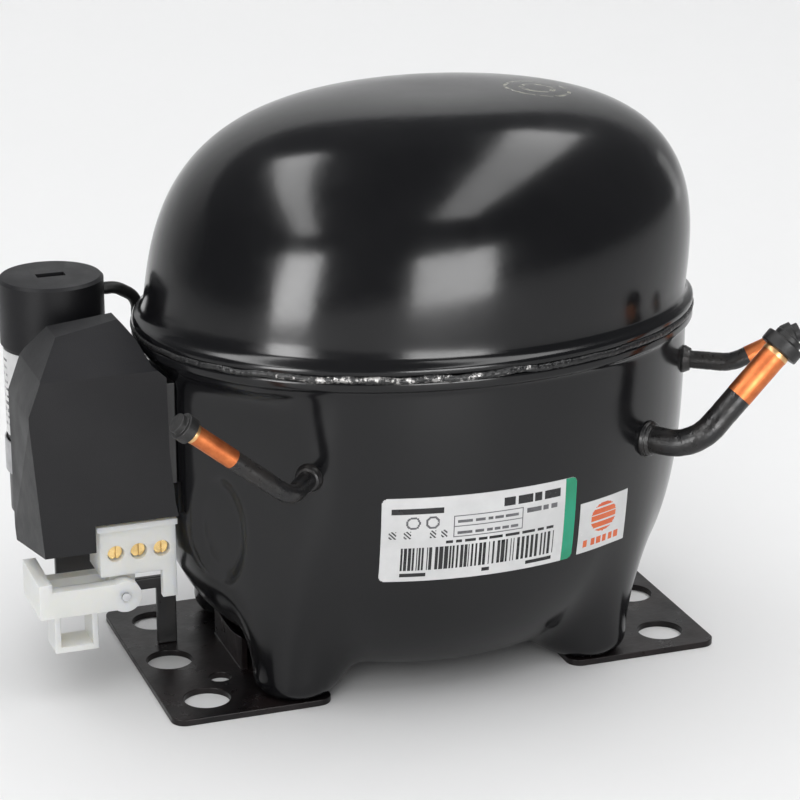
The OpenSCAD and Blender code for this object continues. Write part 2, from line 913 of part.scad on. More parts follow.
module piston() {
    color(iron) difference() {
        face_x(skirt_x, shaft_y, cyl_z) cylinder(r = piston_r, h = piston_len, $fn = 96);
        face_x(skirt_x - 1, shaft_y, cyl_z) cylinder(r = 11.4, h = piston_len - 5, $fn = 64);
        translate([wrist_x, shaft_y, cyl_z - 20]) cylinder(r = 4 + 0.01, h = 40);
        // relief under the suction reed
        translate([crown_x - 2.2, shaft_y - 6, cyl_z - 12]) cube([3, 12, 24]);
    }
}

module wrist_pin() {
    color(steel) translate([wrist_x, shaft_y, cyl_z - 13.2]) cylinder(r = 4, h = 26.4);
}

module connecting_rod() {
    big_x = shaft_x + crank_r;
    rod_h = 9;
    z = cyl_z - rod_h / 2;
    color([0.70, 0.71, 0.73]) difference() {
        union() {
            translate([wrist_x, shaft_y, z]) cylinder(r = 7, h = rod_h);
            translate([big_x, shaft_y, z]) cylinder(r = 12, h = rod_h);
            translate([big_x, shaft_y - 4, z + 1]) cube([rod_length, 8, rod_h - 2]);
        }
        translate([wrist_x, shaft_y, z - 1]) cylinder(r = 4 + running, h = rod_h + 2);
        translate([big_x, shaft_y, z - 1]) cylinder(r = 7 + running, h = rod_h + 2);
    }
}

// Crank pin, held in the rod's big eye and standing just clear of the web
module crank_pin() {
    z0 = web_z + web_h + gap;
    color(steel) translate([shaft_x + crank_r, shaft_y, z0]) difference() {
        union() {
            cylinder(r = 7, h = cyl_z + 8 - z0);
            cylinder(r = 8.6, h = cyl_z - 4.5 - z0 - 0.1);
        }
        translate([0, 0, -1]) cylinder(r = 2, h = 40);
    }
}

// ---------- Valves and head ----------

module suction_reed() {
    color(steel) translate([plate_x, shaft_y, cyl_z]) difference() {
        union() {
            translate([0.1, -4.5, -10.5]) cube([0.4, 9, 16]);
            face_x(0.1, 0, 5.4) cylinder(r = 5.2, h = 0.4);
        }
        // clear of the discharge port
        face_x(-1, 0, -5) cylinder(r = 3.2, h = 3);
    }
}

module discharge_reed() {
    color(steel) translate([plate_x + valve_plate_t, shaft_y, cyl_z]) union() {
        translate([-1.3, -3, -5]) cube([0.4, 6, 6.4]);
        face_x(-1.3, 0, -5) cylinder(r = 3.8, h = 0.4);
    }
}

module valve_plate() {
    t = valve_plate_t;
    color(steel) translate([plate_x, shaft_y, cyl_z]) difference() {
        translate([0, -head_w / 2, -head_w / 2]) cube([t, head_w, head_w]);
        // seat of the suction reed, then its port
        translate([-1, -6, -11]) cube([1.6, 12, 22]);
        face_x(-1, 0, 6) cylinder(r = 3.4, h = t + 2);
        // pocket of the discharge reed, then its port
        translate([t - 1.4, -4.6, -9.6]) cube([3, 9.2, 11.2]);
        face_x(-1, 0, -5) cylinder(r = 2.6, h = t + 2);
        for (sy = [-1, 1], sz = [-1, 1]) face_x(-1, sy * 18, sz * 18) cylinder(r = 2.3, h = t + 2);
    }
}

module cylinder_head() {
    color([0.66, 0.67, 0.69]) translate([head_x, shaft_y, cyl_z]) difference() {
        union() {
            translate([0, -head_w / 2, -head_w / 2]) cube([4, head_w, head_w]);
            translate([0, -20, -14]) cube([head_len, 40, 34]);
        }
        // suction and discharge chambers
        translate([-1, -16, 2.5]) cube([head_len - 2, 32, 14]);
        translate([-1, -16, -11.5]) cube([head_len - 2, 32, 11.5]);
        for (sy = [-1, 1], sz = [-1, 1])
            face_x(-1, sy * 18, sz * 18) cylinder(r = 2.3, h = head_len + 4);
        // neck of the muffler and outlet of the discharge chamber
        translate([7, 0, 10]) cylinder(r = 4.2, h = 20);
        translate([7, 0, -6]) rotate([90, 0, 0]) cylinder(r = 2.5, h = 30);
    }
}

module head_bolts() {
    color(steel) for (sy = [-1, 1], sz = [-1, 1])
        translate([0, shaft_y + sy * 18, cyl_z + sz * 18]) union() {
            z_low = sz < 0;
            seat = z_low ? head_x + 4 : head_x + head_len;
            face_x(plate_x - 12, 0, 0) cylinder(r = 2, h = seat - plate_x + 12 + eps);
            face_x(seat, 0, 0) cylinder(r = 3.6, h = 3.4, $fn = 6);
        }
}

// Moulded plastic chamber on top of the head
module suction_muffler() {
    color([0.85, 0.83, 0.76]) translate([head_x - 27.5, shaft_y - 22, cyl_z + 26]) difference() {
        union() {
            cube([39, 44, 18]);
            translate([34.5, 22, -12]) cylinder(r = 4, h = 12 + eps);
            translate([39 - eps, 22, 9]) rotate([0, 90, 0]) cylinder(r = 5, h = 5);
        }
        translate([2, 2, 2]) cube([35, 40, 14]);
        translate([34.5, 22, -13]) cylinder(r = 2.6, h = 16);
        translate([36, 22, 9]) rotate([0, 90, 0]) cylinder(r = 3.6, h = 10);
    }
}

// Springy tube from the discharge chamber to the discharge connection
module discharge_loop() {
    x = head_x + 7;
    z = cyl_z - 6;
    color(copper) bent_bar([
        [x, shaft_y - 17, z], [x, -38, z], [30, -60, 118], [-34, -60, 108],
        [-40, -59.5, 90], along(discharge_route[0], discharge_route[1], -2.3)
    ], 5, 2);
}

lower_housing();
upper_housing();
weld_seam();
left_foot();
right_foot();
suction_tube();
suction_tail();
suction_plug();
discharge_tube();
discharge_tail();
discharge_plug();
process_tube();
process_tail();
process_plug();
terminal_body();
terminal_glass();
terminal_pins();
terminal_fence();
start_relay();
overload_protector();
terminal_cover();
terminal_board();
board_screws();
clamp_pin();
cord_clamp();
capacitor_bracket();
capacitor_can();
capacitor_cap();
capacitor_tabs();
capacitor_clip();
capacitor_label();
capacitor_lead();
rating_label();
refrigerant_label();
spring_seats();
suspension_springs();
spring_pegs();
stator_core();
upper_winding();
lower_winding();
stator_bolts();
motor_plug();
crankcase();
thrust_washer();
crankshaft();
counterweight();
rotor_core();
rotor_cage();
oil_pickup();
piston();
wrist_pin();
connecting_rod();
crank_pin();
suction_reed();
valve_plate();
discharge_reed();
cylinder_head();
head_bolts();
suction_muffler();
discharge_loop();
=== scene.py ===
import json
import math
import random

import bmesh
import bpy
import numpy as np
from mathutils import Matrix, Vector


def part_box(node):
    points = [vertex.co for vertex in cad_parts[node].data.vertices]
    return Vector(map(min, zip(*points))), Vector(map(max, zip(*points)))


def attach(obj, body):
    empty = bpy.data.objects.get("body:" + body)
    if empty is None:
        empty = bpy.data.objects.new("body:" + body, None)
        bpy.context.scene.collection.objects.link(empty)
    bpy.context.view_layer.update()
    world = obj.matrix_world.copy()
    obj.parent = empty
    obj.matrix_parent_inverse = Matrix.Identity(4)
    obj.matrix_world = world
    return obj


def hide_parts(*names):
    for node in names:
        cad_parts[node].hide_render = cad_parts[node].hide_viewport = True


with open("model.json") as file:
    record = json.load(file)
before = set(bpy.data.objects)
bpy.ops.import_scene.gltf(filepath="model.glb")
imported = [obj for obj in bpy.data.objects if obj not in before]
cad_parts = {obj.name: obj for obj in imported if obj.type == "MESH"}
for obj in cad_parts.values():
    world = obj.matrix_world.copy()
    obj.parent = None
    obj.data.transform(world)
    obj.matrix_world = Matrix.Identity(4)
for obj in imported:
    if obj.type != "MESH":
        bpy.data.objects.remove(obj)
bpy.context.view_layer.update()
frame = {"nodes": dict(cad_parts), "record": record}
random.seed(7)
rng = np.random.default_rng(7)
MM = 0.001


def box_mm(node):
    """A CAD node's lowest and highest corners at rest, in millimetres."""
    lo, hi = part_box(node)
    return np.array(lo) * 1000, np.array(hi) * 1000


# ---------- Materials ----------


def link_or_set(tree, socket, value):
    """Links an output to the socket, or sets a plain number or colour on it."""
    if hasattr(value, "default_value"):
        tree.links.new(value, socket)
    else:
        socket.default_value = value


def noise(tree, coord, scale, detail, rough, stretch=None):
    n = tree.nodes.new("ShaderNodeTexNoise")
    n.inputs["Scale"].default_value = scale
    n.inputs["Detail"].default_value = detail
    n.inputs["Roughness"].default_value = rough
    if stretch:
        m = tree.nodes.new("ShaderNodeMapping")
        m.inputs["Scale"].default_value = stretch
        tree.links.new(coord, m.inputs["Vector"])
        coord = m.outputs["Vector"]
    tree.links.new(coord, n.inputs["Vector"])
    return n.outputs["Fac"]


def spread(tree, value, low, high, out_low, out_high):
    """Maps a value from one range to another, held at both ends."""
    n = tree.nodes.new("ShaderNodeMapRange")
    ends = {"From Min": low, "From Max": high, "To Min": out_low, "To Max": out_high}
    for key, v in ends.items():
        n.inputs[key].default_value = v
    tree.links.new(value, n.inputs["Value"])
    return n.outputs["Result"]


def blend_colour(tree, fac, a, b):
    n = tree.nodes.new("ShaderNodeMix")
    n.data_type = "RGBA"
    link_or_set(tree, n.inputs[6], a)
    link_or_set(tree, n.inputs[7], b)
    tree.links.new(fac, n.inputs[0])
    return n.outputs[2]


def maths(tree, operation, *values, kind="ShaderNodeMath", output=0):
    n = tree.nodes.new(kind)
    n.operation = operation
    for socket, v in zip(n.inputs, values):
        link_or_set(tree, socket, v)
    return n.outputs[output]


def paint_over(tree, fac, colour):
    """Lays a second colour over the shader's own, where fac says."""
    socket = tree.nodes["Principled BSDF"].inputs["Base Color"]
    under = socket.links[0].from_socket
    tree.links.new(blend_colour(tree, fac, under, (*colour, 1)), socket)


def material(name, colour, rough, other=None, patch=40, metal=0.0, coat=0.0, coat_rough=0.1,
             grain=900, depth=0.0001, gloss_scale=60, glow=0.0, glow_radius=0.002, clear=0.0,
             stretch=None, band=(0.4, 0.62), ior=1.45, spec=0.5):
    """A colour that drifts to a second one in patches, with uneven gloss and a fine grain.

    patch, gloss_scale and grain are noise scales, and depth is the grain's height in metres.
    """
    m = bpy.data.materials.new(name)
    m.use_nodes = True
    t = m.node_tree
    shader = t.nodes["Principled BSDF"]
    coord = t.nodes.new("ShaderNodeTexCoord").outputs["Object"]
    drift = noise(t, coord, patch, 5, 0.6, stretch)
    fac = spread(t, drift, *band, 0, 1)
    other = other or tuple(c * 0.75 for c in colour)
    t.links.new(blend_colour(t, fac, (*colour, 1), (*other, 1)), shader.inputs["Base Color"])
    uneven = noise(t, coord, gloss_scale, 6, 0.65, stretch)
    t.links.new(spread(t, uneven, 0.3, 0.72, *rough), shader.inputs["Roughness"])
    bump = t.nodes.new("ShaderNodeBump")
    bump.inputs["Strength"].default_value = 1.0
    bump.inputs["Distance"].default_value = depth
    t.links.new(noise(t, coord, grain, 3, 0.5, stretch), bump.inputs["Height"])
    t.links.new(bump.outputs["Normal"], shader.inputs["Normal"])
    constants = {"Metallic": metal, "IOR": ior, "Specular IOR Level": spec,
                 "Coat Weight": coat, "Coat Roughness": coat_rough}
    if glow:
        constants.update({"Subsurface Weight": glow, "Subsurface Scale": glow_radius,
                          "Subsurface Radius": (1.0, 0.9, 0.7)})
    if clear:
        constants["Transmission Weight"] = clear
    for key, v in constants.items():
        shader.inputs[key].default_value = v
    return m


FINISHES = {
    "shell_paint": dict(
        colour=(0.0055, 0.0056, 0.0065), rough=(0.13, 0.21), other=(0.008, 0.008, 0.009),
        patch=14, grain=260, depth=0.00002, gloss_scale=45, ior=1.4),
    "weld_steel": dict(
        colour=(0.008, 0.008, 0.009), rough=(0.2, 0.5), other=(0.02, 0.02, 0.02),
        patch=60, grain=700, depth=0.0005, gloss_scale=300),
    "foot_paint": dict(
        colour=(0.006, 0.005, 0.0055), rough=(0.22, 0.45), other=(0.016, 0.011, 0.011),
        patch=38, grain=500, depth=0.00006, gloss_scale=90, spec=0.3),
    "tube_paint": dict(
        colour=(0.009, 0.009, 0.010), rough=(0.2, 0.5), other=(0.018, 0.016, 0.015),
        patch=120, grain=650, depth=0.00018, gloss_scale=260),
    "copper": dict(
        colour=(0.64, 0.20, 0.07), rough=(0.38, 0.5), other=(0.5, 0.14, 0.05),
        patch=160, grain=1400, depth=0.00003, gloss_scale=300, metal=1.0),
    "copper_rim": dict(
        colour=(0.75, 0.47, 0.22), rough=(0.3, 0.42), other=(0.6, 0.35, 0.16),
        patch=200, grain=1400, depth=0.00003, metal=1.0),
    "plug_rubber": dict(
        colour=(0.008, 0.008, 0.008), rough=(0.35, 0.6), other=(0.016, 0.015, 0.015),
        patch=200, grain=1200, depth=0.00008, gloss_scale=250),
    "steel": dict(
        colour=(0.55, 0.56, 0.57), rough=(0.25, 0.45), other=(0.38, 0.38, 0.39),
        patch=90, grain=1600, depth=0.00003, metal=1.0),
    "terminal_glass": dict(
        colour=(0.10, 0.24, 0.18), rough=(0.05, 0.15), patch=90, clear=0.6),
    "bracket_paint": dict(
        colour=(0.011, 0.011, 0.012), rough=(0.25, 0.45), other=(0.02, 0.017, 0.016),
        patch=70, grain=700, depth=0.00006),
    "black_plastic": dict(
        colour=(0.008, 0.008, 0.0095), rough=(0.4, 0.52), other=(0.0095, 0.0095, 0.011),
        patch=50, grain=2600, depth=0.00005, gloss_scale=80, spec=0.25),
    "can_plastic": dict(
        colour=(0.007, 0.007, 0.008), rough=(0.24, 0.42), other=(0.012, 0.012, 0.014),
        patch=60, grain=1500, depth=0.00003, spec=0.3),
    "nylon": dict(
        colour=(0.84, 0.84, 0.80), rough=(0.3, 0.38), other=(0.80, 0.80, 0.75),
        patch=30, grain=180, depth=0.00002, gloss_scale=50, glow=0.85, glow_radius=0.008),
    "brass": dict(
        colour=(0.70, 0.50, 0.22), rough=(0.2, 0.4), other=(0.5, 0.35, 0.15),
        patch=150, metal=1.0),
    "label_film": dict(
        colour=(0.80, 0.80, 0.80), rough=(0.16, 0.28), other=(0.72, 0.72, 0.72),
        patch=60, grain=350, depth=0.00002, coat=0.3, coat_rough=0.08),
    "laminations": dict(
        colour=(0.22, 0.23, 0.25), rough=(0.35, 0.6), other=(0.16, 0.15, 0.15),
        patch=60, grain=900, depth=0.0002, metal=0.9, stretch=(1, 1, 60)),
    "grey_iron": dict(
        colour=(0.20, 0.20, 0.21), rough=(0.45, 0.7), other=(0.12, 0.12, 0.12),
        patch=120, grain=1200, depth=0.0003, metal=0.7),
    "cast_aluminium": dict(
        colour=(0.60, 0.61, 0.62), rough=(0.3, 0.5), other=(0.45, 0.46, 0.47),
        patch=120, grain=1200, depth=0.0001, metal=1.0),
}
MATERIALS = {name: material(name, **finish) for name, finish in FINISHES.items()}
PRINT = dict(grain=400, depth=0.00002)
INK = material("label_ink", (0.02, 0.02, 0.022), (0.2, 0.35), patch=200, **PRINT)
GREY_INK = material("label_grey", (0.16, 0.16, 0.17), (0.2, 0.35), patch=200, **PRINT)
GREEN = material("label_green", (0.0, 0.30, 0.15), (0.15, 0.28), (0.0, 0.36, 0.2),
                 patch=60, coat=0.3, **PRINT)
ORANGE = material("label_orange", (0.75, 0.10, 0.02), (0.15, 0.3), (0.8, 0.16, 0.03),
                  patch=90, coat=0.3, **PRINT)


def add_silver(paint):
    """Bare weld metal showing through the paint in streaks, most of it along the label side."""
    t = paint.node_tree
    coord = t.nodes.new("ShaderNodeTexCoord").outputs["Object"]
    split = t.nodes.new("ShaderNodeSeparateXYZ")
    t.links.new(coord, split.inputs[0])
    front = spread(t, split.outputs["Y"], -0.05, -0.07, 0, 1)
    left = spread(t, split.outputs["X"], 0.03, -0.02, 0, 1)
    level = spread(t, maths(t, "MULTIPLY", front, left), 0, 1, -0.1, 0.085)
    streaks = maths(t, "ADD", level, noise(t, coord, 420, 4, 0.7))
    bare = spread(t, streaks, 0.56, 0.64, 0, 1)
    paint_over(t, bare, (0.42, 0.41, 0.40))
    t.links.new(bare, t.nodes["Principled BSDF"].inputs["Metallic"])


def add_stamp(paint, x, y, radius):
    """A faint round inspection stamp of two rings, worn away in places, on the crown."""
    t = paint.node_tree
    coord = t.nodes.new("ShaderNodeTexCoord").outputs["Object"]
    vector = "ShaderNodeVectorMath"
    shift = maths(t, "SUBTRACT", coord, (x * MM, y * MM, 0), kind=vector)
    flat = maths(t, "MULTIPLY", shift, (1, 1, 0), kind=vector)
    far = maths(t, "LENGTH", flat, kind=vector, output="Value")
    rings = [maths(t, "COMPARE", far, centre * MM, half * MM)
             for centre, half in ((radius, 0.7), (radius * 0.5, 0.9))]
    split = t.nodes.new("ShaderNodeSeparateXYZ")
    t.links.new(coord, split.inputs[0])
    on_top = spread(t, split.outputs["Z"], 0.15, 0.16, 0, 1)
    worn = spread(t, noise(t, coord, 260, 4, 0.7), 0.42, 0.6, 0, 0.7)
    mask = maths(t, "MULTIPLY", maths(t, "MULTIPLY", maths(t, "MAXIMUM", *rings), on_top), worn)
    paint_over(t, mask, (0.34, 0.34, 0.26))


STAMP_FORWARD, STAMP_ASIDE, STAMP_RADIUS = 42, -6, 11
add_silver(MATERIALS["weld_steel"])
crown_lo, crown_hi = box_mm("upper_housing")
crown_x, crown_y = (crown_lo[0] + crown_hi[0]) / 2, (crown_lo[1] + crown_hi[1]) / 2
add_stamp(MATERIALS["shell_paint"], crown_x + STAMP_FORWARD, crown_y + STAMP_ASIDE, STAMP_RADIUS)
slot_of = {s["node"]: s["material_slot"] for s in frame["record"]["subparts"]}
for node, obj in frame["nodes"].items():
    obj.data.materials.clear()
    obj.data.materials.append(MATERIALS[slot_of[node]])


# ---------- Mesh helpers, all in millimetres ----------


def add_piece(name, verts, faces, body, nodes, slot, mats=None, indices=None, smooth=True):
    """A new mesh that rides on a body and takes a slot; it replaces the CAD nodes, if any."""
    mesh = bpy.data.meshes.new(name)
    points = (np.asarray(verts, float) * MM).tolist()
    mesh.from_pydata(points, [], [list(map(int, f)) for f in faces])
    for m in mats or [MATERIALS[slot]]:
        mesh.materials.append(m)
    if indices is not None:
        mesh.polygons.foreach_set("material_index", indices)
    mesh.polygons.foreach_set("use_smooth", [smooth] * len(mesh.polygons))
    mesh.update()
    obj = bpy.data.objects.new(name, mesh)
    bpy.context.scene.collection.objects.link(obj)
    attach(obj, body)
    if nodes:
        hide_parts(*nodes)
    return obj


SMOOTH_DEGREES = 50


def smooth_by_angle(obj, degrees):
    mesh = obj.data
    mesh.polygons.foreach_set("use_smooth", [True] * len(mesh.polygons))
    mesh.set_sharp_from_angle(angle=math.radians(degrees))


def body_of_node(node):
    for body, members in frame["record"]["behaviour"]["bodies"].items():
        if node in members:
            return body


MERGE_M = 0.00002
FLAT_ANGLE = math.radians(0.8)


def soften(node, width, segments, angle=28):
    """The CAD node's own shape with its hard edges rounded off."""
    mesh = frame["nodes"][node].data.copy()
    bm = bmesh.new()
    bm.from_mesh(mesh)
    bmesh.ops.remove_doubles(bm, verts=bm.verts, dist=MERGE_M)
    bmesh.ops.dissolve_limit(bm, angle_limit=FLAT_ANGLE, verts=bm.verts, edges=bm.edges)
    bm.to_mesh(mesh)
    bm.free()
    obj = bpy.data.objects.new(node + "_part", mesh)
    bpy.context.scene.collection.objects.link(obj)
    smooth_by_angle(obj, angle)
    bevel = obj.modifiers.new("round", "BEVEL")
    bevel.width = width * MM
    bevel.segments = segments
    bevel.limit_method = "ANGLE"
    bevel.angle_limit = math.radians(angle)
    bevel.harden_normals = True
    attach(obj, body_of_node(node))
    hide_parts(node)
    return obj


def rings_to_faces(rows, cols, closed_rows=False):
    """Quads between rows of cols points; each row closes on itself."""
    faces = []
    for i in range(rows if closed_rows else rows - 1):
        for j in range(cols):
            a, b = i * cols, ((i + 1) % rows) * cols
            k = (j + 1) % cols
            faces.append((a + j, a + k, b + k, b + j))
    return faces


def sweep(name, points, radii, body, nodes, slot, sides=40, start_cap=True, end_cap=True,
          mats=None, pick=None):
    """A round tube along a dense list of points, its radius given at each point.

    pick gives the number of the material in mats for each ring.
    """
    pick = pick or (lambda ring: 0)
    p = np.asarray(points, float)
    last = len(p) - 1
    tangent = np.gradient(p, axis=0)
    tangent /= np.linalg.norm(tangent, axis=1)[:, None]
    side = np.cross(tangent[0], (0, 0, 1.0))
    if np.linalg.norm(side) < 0.1:
        side = np.cross(tangent[0], (1.0, 0, 0))
    verts = []
    for q, t, r in zip(p, tangent, radii):
        side = side - t * np.dot(side, t)
        side /= np.linalg.norm(side)
        up = np.cross(t, side)
        for k in range(sides):
            a = 2 * math.pi * k / sides
            verts.append(q + r * (math.cos(a) * side + math.sin(a) * up))
    faces = rings_to_faces(len(p), sides)
    kinds = [pick(f[0] // sides) for f in faces]
    if start_cap:
        faces.append(tuple(range(sides))[::-1])
        kinds.append(pick(0))
    if end_cap:
        faces.append(tuple(range(last * sides, len(p) * sides)))
        kinds.append(pick(last))
    obj = add_piece(name, verts, faces, body, nodes, slot, mats, kinds)
    smooth_by_angle(obj, SMOOTH_DEGREES)


# ---------- Shell ----------

seam_lo, seam_hi = box_mm("weld_seam")
CX, CY = (seam_lo[0] + seam_hi[0]) / 2, (seam_lo[1] + seam_hi[1]) / 2
OUT_A, OUT_B = (seam_hi[0] - seam_lo[0]) / 2, (seam_hi[1] - seam_lo[1]) / 2
RIM_Z, DOME_Z = seam_lo[2], seam_hi[2]
BOWL_A, BOWL_B = OUT_A - 3.0, OUT_B - 2.85
DOME_A, DOME_B = BOWL_A - 1.2, BOWL_B - 1.0
BOWL_H = RIM_Z - box_mm("lower_housing")[0][2]
DOME_H = box_mm("upper_housing")[1][2] - DOME_Z
BOWL_POWER, DOME_POWER = 3.3, 3.1
LEAN = 9.0
WALL = 3.0
# A middling radius of the housing, which turns a share of it into a length
MEAN_R = 88
# The same for the bowl's own field, which also covers its shorter height
FIELD_SCALE = 85
# How far the rim's lip stands out from the skin
LIP = 2.3
FLAT_X = box_mm("terminal_fence")[1][0]
LEDGE_Z = box_mm("terminal_fence")[1][2] + 4
CORNER_TURN, CORNER_REACH = math.radians(219), 83.0
PLATE_T = 2.3
TOE_X, TOE_Y, TOE_R, TOE_ROUND = 54.0, 38.0, 14.4, 6
# The oval pocket in the corner flat: its place and half sizes, its depth and the slope of its border
POCKET_ACROSS, POCKET_Z, POCKET_HALF_W, POCKET_HALF_H = -27.0, 62.0, 11.0, 20.0
POCKET_DEPTH, POCKET_SLOPE = 1.2, 5
# Widths over which two skins blend
TOE_BLEND, LEDGE_BLEND, END_BLEND, CORNER_BLEND, LIP_BLEND = 12, 5, 3, 4, 2.5
SHELL_COLS = 280


def smooth_min(a, b, k):
    h = np.clip(k - np.abs(a - b), 0, None) / k
    return np.minimum(a, b) - h * h * k / 4


def smooth_max(a, b, k):
    return -smooth_min(-a, -b, k)


def rounded_box(qr, qz, r):
    """Distance outside a ring whose section is a rounded rectangle."""
    beyond = np.hypot(np.clip(qr, 0, None), np.clip(qz, 0, None))
    return beyond + np.minimum(np.maximum(qr, qz), 0) - r


def behind_corner(x, y):
    """How far a point lies from the middle towards the corner flat."""
    return (x - CX) * math.cos(CORNER_TURN) + (y - CY) * math.sin(CORNER_TURN)


def pocket(x, y, z):
    """Depth of the shallow oval pocket with a sloping border in the corner flat."""
    across = -(x - CX) * math.sin(CORNER_TURN) + (y - CY) * math.cos(CORNER_TURN)
    far = np.hypot((across - POCKET_ACROSS) / POCKET_HALF_W, (z - POCKET_Z) / POCKET_HALF_H)
    near_flat = behind_corner(x, y) > CORNER_REACH - 8
    return POCKET_DEPTH * np.clip((1 - far) * POCKET_SLOPE, 0, 1) * near_flat


def bowl_field(x, y, z):
    """Roughly the distance outside the lower housing's skin."""
    px, py = (x - CX) / BOWL_A, (y - CY) / BOWL_B
    flat = px * px + py * py
    pz = np.clip(RIM_Z - z, 0, None) / BOWL_H
    d = ((flat ** (BOWL_POWER / 2) + pz ** BOWL_POWER) ** (1 / BOWL_POWER) - 1) * FIELD_SCALE
    for sx in (-1, 1):
        for sy in (-1, 1):
            r = np.hypot(x - sx * TOE_X, y - sy * TOE_Y)
            toe = rounded_box(r - (TOE_R - TOE_ROUND), PLATE_T + TOE_ROUND - z, TOE_ROUND)
            d = smooth_min(d, toe, TOE_BLEND)
    end_cut = smooth_max(x - FLAT_X, z - LEDGE_Z, LEDGE_BLEND)
    d = smooth_max(d, -end_cut, END_BLEND)
    reach = behind_corner(x, y) - CORNER_REACH
    corner_cut = smooth_max(-reach, z - LEDGE_Z, LEDGE_BLEND)
    d = smooth_max(d, -corner_cut, CORNER_BLEND)
    d = d + pocket(x, y, z)
    d = np.maximum(d, PLATE_T - z)
    outward = (np.sqrt(flat) - 1) * MEAN_R
    lip = rounded_box(outward - 1.4, np.abs(z - (RIM_Z - 1.6)) - 0.8, 0.8)
    return smooth_min(d, lip, LIP_BLEND)


def root(field, start, end, steps=70):
    """Where each ray from start to end first meets the skin, as a fraction of its length."""
    n = len(start)
    hit = np.ones(n)
    found = np.zeros(n, bool)
    before = np.zeros(n)
    for s in np.linspace(0, 1, steps):
        p = start + (end - start) * s
        inside = field(p[:, 0], p[:, 1], p[:, 2]) < 0
        new = inside & ~found
        hit[new] = s
        found |= inside
        before[~found] = s
    low, high = before, hit
    for _ in range(16):
        mid = (low + high) / 2
        p = start + (end - start) * mid[:, None]
        inside = field(p[:, 0], p[:, 1], p[:, 2]) < 0
        high = np.where(inside, mid, high)
        low = np.where(inside, low, mid)
    return (low + high) / 2


def crown(power, steps, start):
    """Points of a half outline from start towards its pole: shares of the radius and height."""
    for i in range(1, steps):
        u = math.radians(90 * i / steps)
        across, along = math.cos(u) ** (2 / power), math.sin(u) ** (2 / power)
        if along > start:
            yield across, along


def shell_faces(rows, cols):
    """A skin and its lining, joined at the first row and each closed by a disc at the last."""
    n = rows * cols
    last = n - cols
    faces = rings_to_faces(rows, cols)
    faces += [tuple(v + n for v in f[::-1]) for f in faces]
    faces += [(j, n + j, n + (j + 1) % cols, (j + 1) % cols) for j in range(cols)]
    faces.append(tuple(last + j for j in range(cols)))
    faces.append(tuple(n + last + j for j in range(cols))[::-1])
    return faces


def lower_shell():
    """The bowl: rays from outside find its blended skin, and the lining is a shrunken copy."""
    cols = SHELL_COLS
    heights = [0, 0.12, 0.3, 0.6, 1, 1.5, 2, 2.5, 2.9, 3.2, 3.5, 3.9, 4.4, 5, 5.8, 6.8]
    profile = [((1 - (h / BOWL_H) ** BOWL_POWER) ** (1 / BOWL_POWER), h / BOWL_H) for h in heights]
    profile += crown(BOWL_POWER, 110, 7.6 / BOWL_H)
    angle = np.linspace(0, 2 * math.pi, cols, endpoint=False)
    centre = np.array([CX, CY, RIM_Z])
    ends = np.array([(BOWL_A * c * math.cos(a), BOWL_B * c * math.sin(a), -BOWL_H * s)
                     for c, s in profile for a in angle])
    ray_in, ray_out = 0.72, 1.22
    inner, outer = centre + ends * ray_in, centre + ends * ray_out
    f = root(bowl_field, outer, inner)
    skin = outer + (inner - outer) * f[:, None]
    skin[:cols, 2] = RIM_Z
    lining = centre + (skin - centre) * (1 - WALL / MEAN_R)
    # the bowl hangs down, so its faces turn the other way
    faces = [f[::-1] for f in shell_faces(len(profile), cols)]
    verts = np.vstack([skin, lining])
    add_piece("lower_shell", verts, faces, "shell", ["lower_housing"], "shell_paint")


def upper_shell():
    """The dome, with a turned-out rim and a crown that leans towards the suction end."""
    cols = SHELL_COLS
    out = BOWL_A + LIP
    outline = [(out - 0.6, 0.0), (out - 0.15, 0.15), (out, 0.6), (out, 1.6), (out - 0.2, 2.3),
               (out - 0.8, 2.8), (out - 1.7, 3.2), (DOME_A + 1.1, 3.8), (DOME_A + 0.5, 4.6),
               (DOME_A + 0.15, 5.8)]
    inner = [(DOME_A - WALL, min(z, 4.4)) for _, z in outline]
    for across, along in crown(DOME_POWER, 120, 7.5 / DOME_H):
        r, z = DOME_A * across, DOME_H * along
        outline.append((r, z))
        inner.append((max(r - WALL, 0.2), max(z - WALL, 0)))
    verts = []
    for points in (outline, inner):
        for r, z in points:
            for j in range(cols):
                a = 2 * math.pi * j / cols
                verts.append((CX + LEAN * z / DOME_H + r * math.cos(a),
                              CY + r * DOME_B / DOME_A * math.sin(a), DOME_Z + z))
    faces = shell_faces(len(outline), cols)
    add_piece("upper_shell", verts, faces, "shell", ["upper_housing"], "shell_paint")


def waves(at, counts):
    """A sum of seeded sine waves with the given numbers of turns."""
    return sum(rng.uniform(0.3, 1) * np.sin(k * at + rng.uniform(0, 6.28)) for k in counts)


